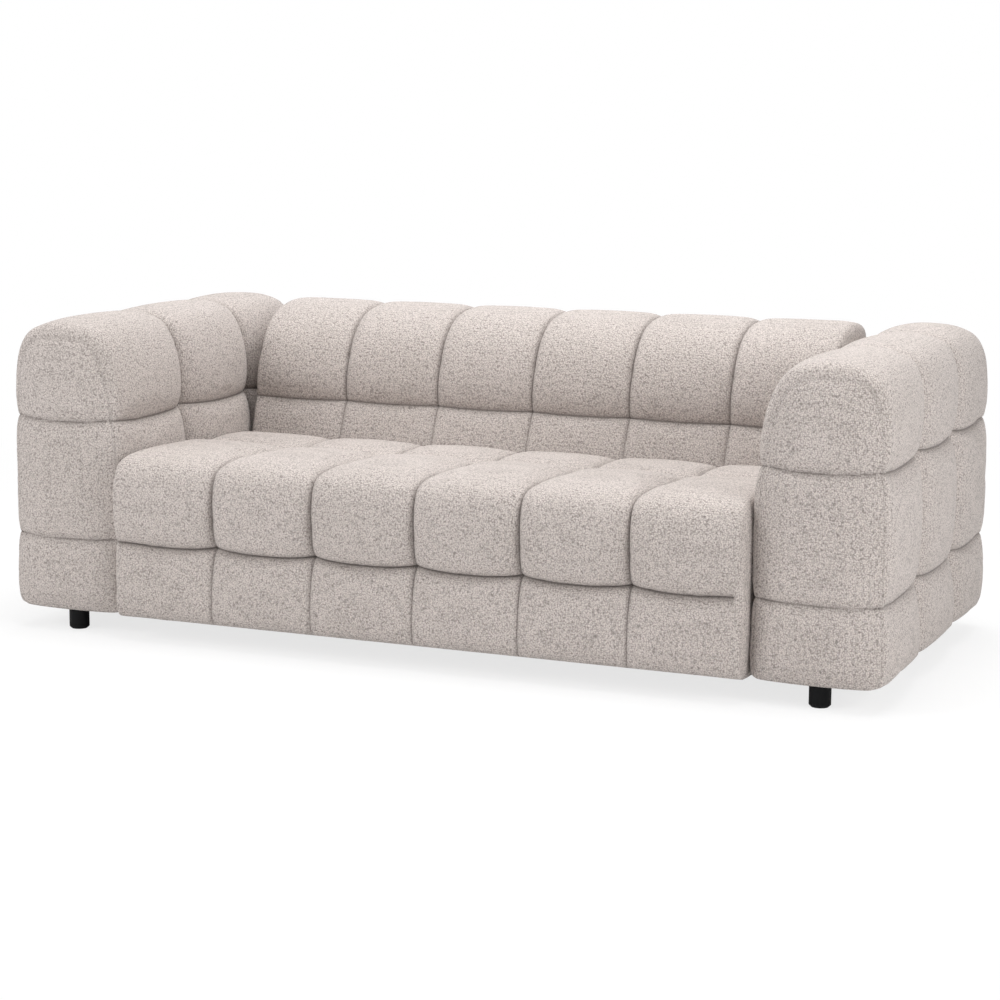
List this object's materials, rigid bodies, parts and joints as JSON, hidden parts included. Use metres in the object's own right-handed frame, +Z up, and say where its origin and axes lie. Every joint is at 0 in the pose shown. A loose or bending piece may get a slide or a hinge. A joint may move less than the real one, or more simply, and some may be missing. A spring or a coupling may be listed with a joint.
{
  "type": "tuxedo sofa",
  "caption": "Three-seat tuxedo sofa with arms as high as its back, tufted boucle upholstery in a square grid and short round feet.",
  "frame": {"origin": "on the floor, under the middle of the sofa's bounding box", "axes": "+X across the sofa, to the right as seen from the front; +Y from the front to the back; +Z up"},
  "size_m": [2.241, 1.0717, 0.7798],
  "materials": {
    "boucle": "matte",
    "dust_cloth": "matte",
    "wadding": "matte",
    "foam": "matte",
    "felt": "matte",
    "webbing": "matte",
    "spring_steel": "satin",
    "zinc_steel": "satin",
    "glide": "matte",
    "foot_black": "satin",
    "timber": "matte",
    "plywood": "matte",
    "fibreboard": "matte"
  },
  "bodies": {
    "root": {"arm_left_cover": "boucle", "arm_left_dust_cover": "dust_cloth", "arm_left_foam": "foam", "arm_left_front_board": "plywood", "arm_left_front_panel": "boucle", "arm_left_inner_board": "fibreboard", "arm_left_outer_board": "fibreboard", "arm_left_rails": "timber", "arm_left_rear_board": "plywood", "arm_left_rear_panel": "boucle", "arm_left_top_board": "fibreboard", "arm_left_wadding": "wadding", "arm_right_cover": "boucle", "arm_right_dust_cover": "dust_cloth", "arm_right_foam": "foam", "arm_right_front_board": "plywood", "arm_right_front_panel": "boucle", "arm_right_inner_board": "fibreboard", "arm_right_outer_board": "fibreboard", "arm_right_rails": "timber", "arm_right_rear_board": "plywood", "arm_right_rear_panel": "boucle", "arm_right_top_board": "fibreboard", "arm_right_wadding": "wadding", "back_cover": "boucle", "back_dust_cover": "dust_cloth", "back_foam": "foam", "back_front_bottom_rail": "timber", "back_front_top_rail": "timber", "back_lumbar_rail": "timber", "back_rear_board": "fibreboard", "back_rear_rails": "timber", "back_uprights": "timber", "back_wadding": "wadding", "back_webbing": "webbing", "connector_bolts": "zinc_steel", "connector_nuts": "zinc_steel", "foot_blocks": "timber", "foot_front_left": "foot_black", "foot_front_right": "foot_black", "foot_glides": "glide", "foot_middle": "foot_black", "foot_nuts": "zinc_steel", "foot_rear_left": "foot_black", "foot_rear_right": "foot_black", "foot_studs": "zinc_steel", "seat_corner_blocks": "timber", "seat_cover": "boucle", "seat_cross_rails": "timber", "seat_deck_foam": "foam", "seat_dust_cover": "dust_cloth", "seat_felt": "felt", "seat_front_foam": "foam", "seat_front_rail": "timber", "seat_rear_rail": "timber", "seat_side_rail_left": "timber", "seat_side_rail_right": "timber", "seat_spring_clips": "spring_steel", "seat_springs": "spring_steel", "seat_wadding": "wadding"}
  },
  "joints": []
}
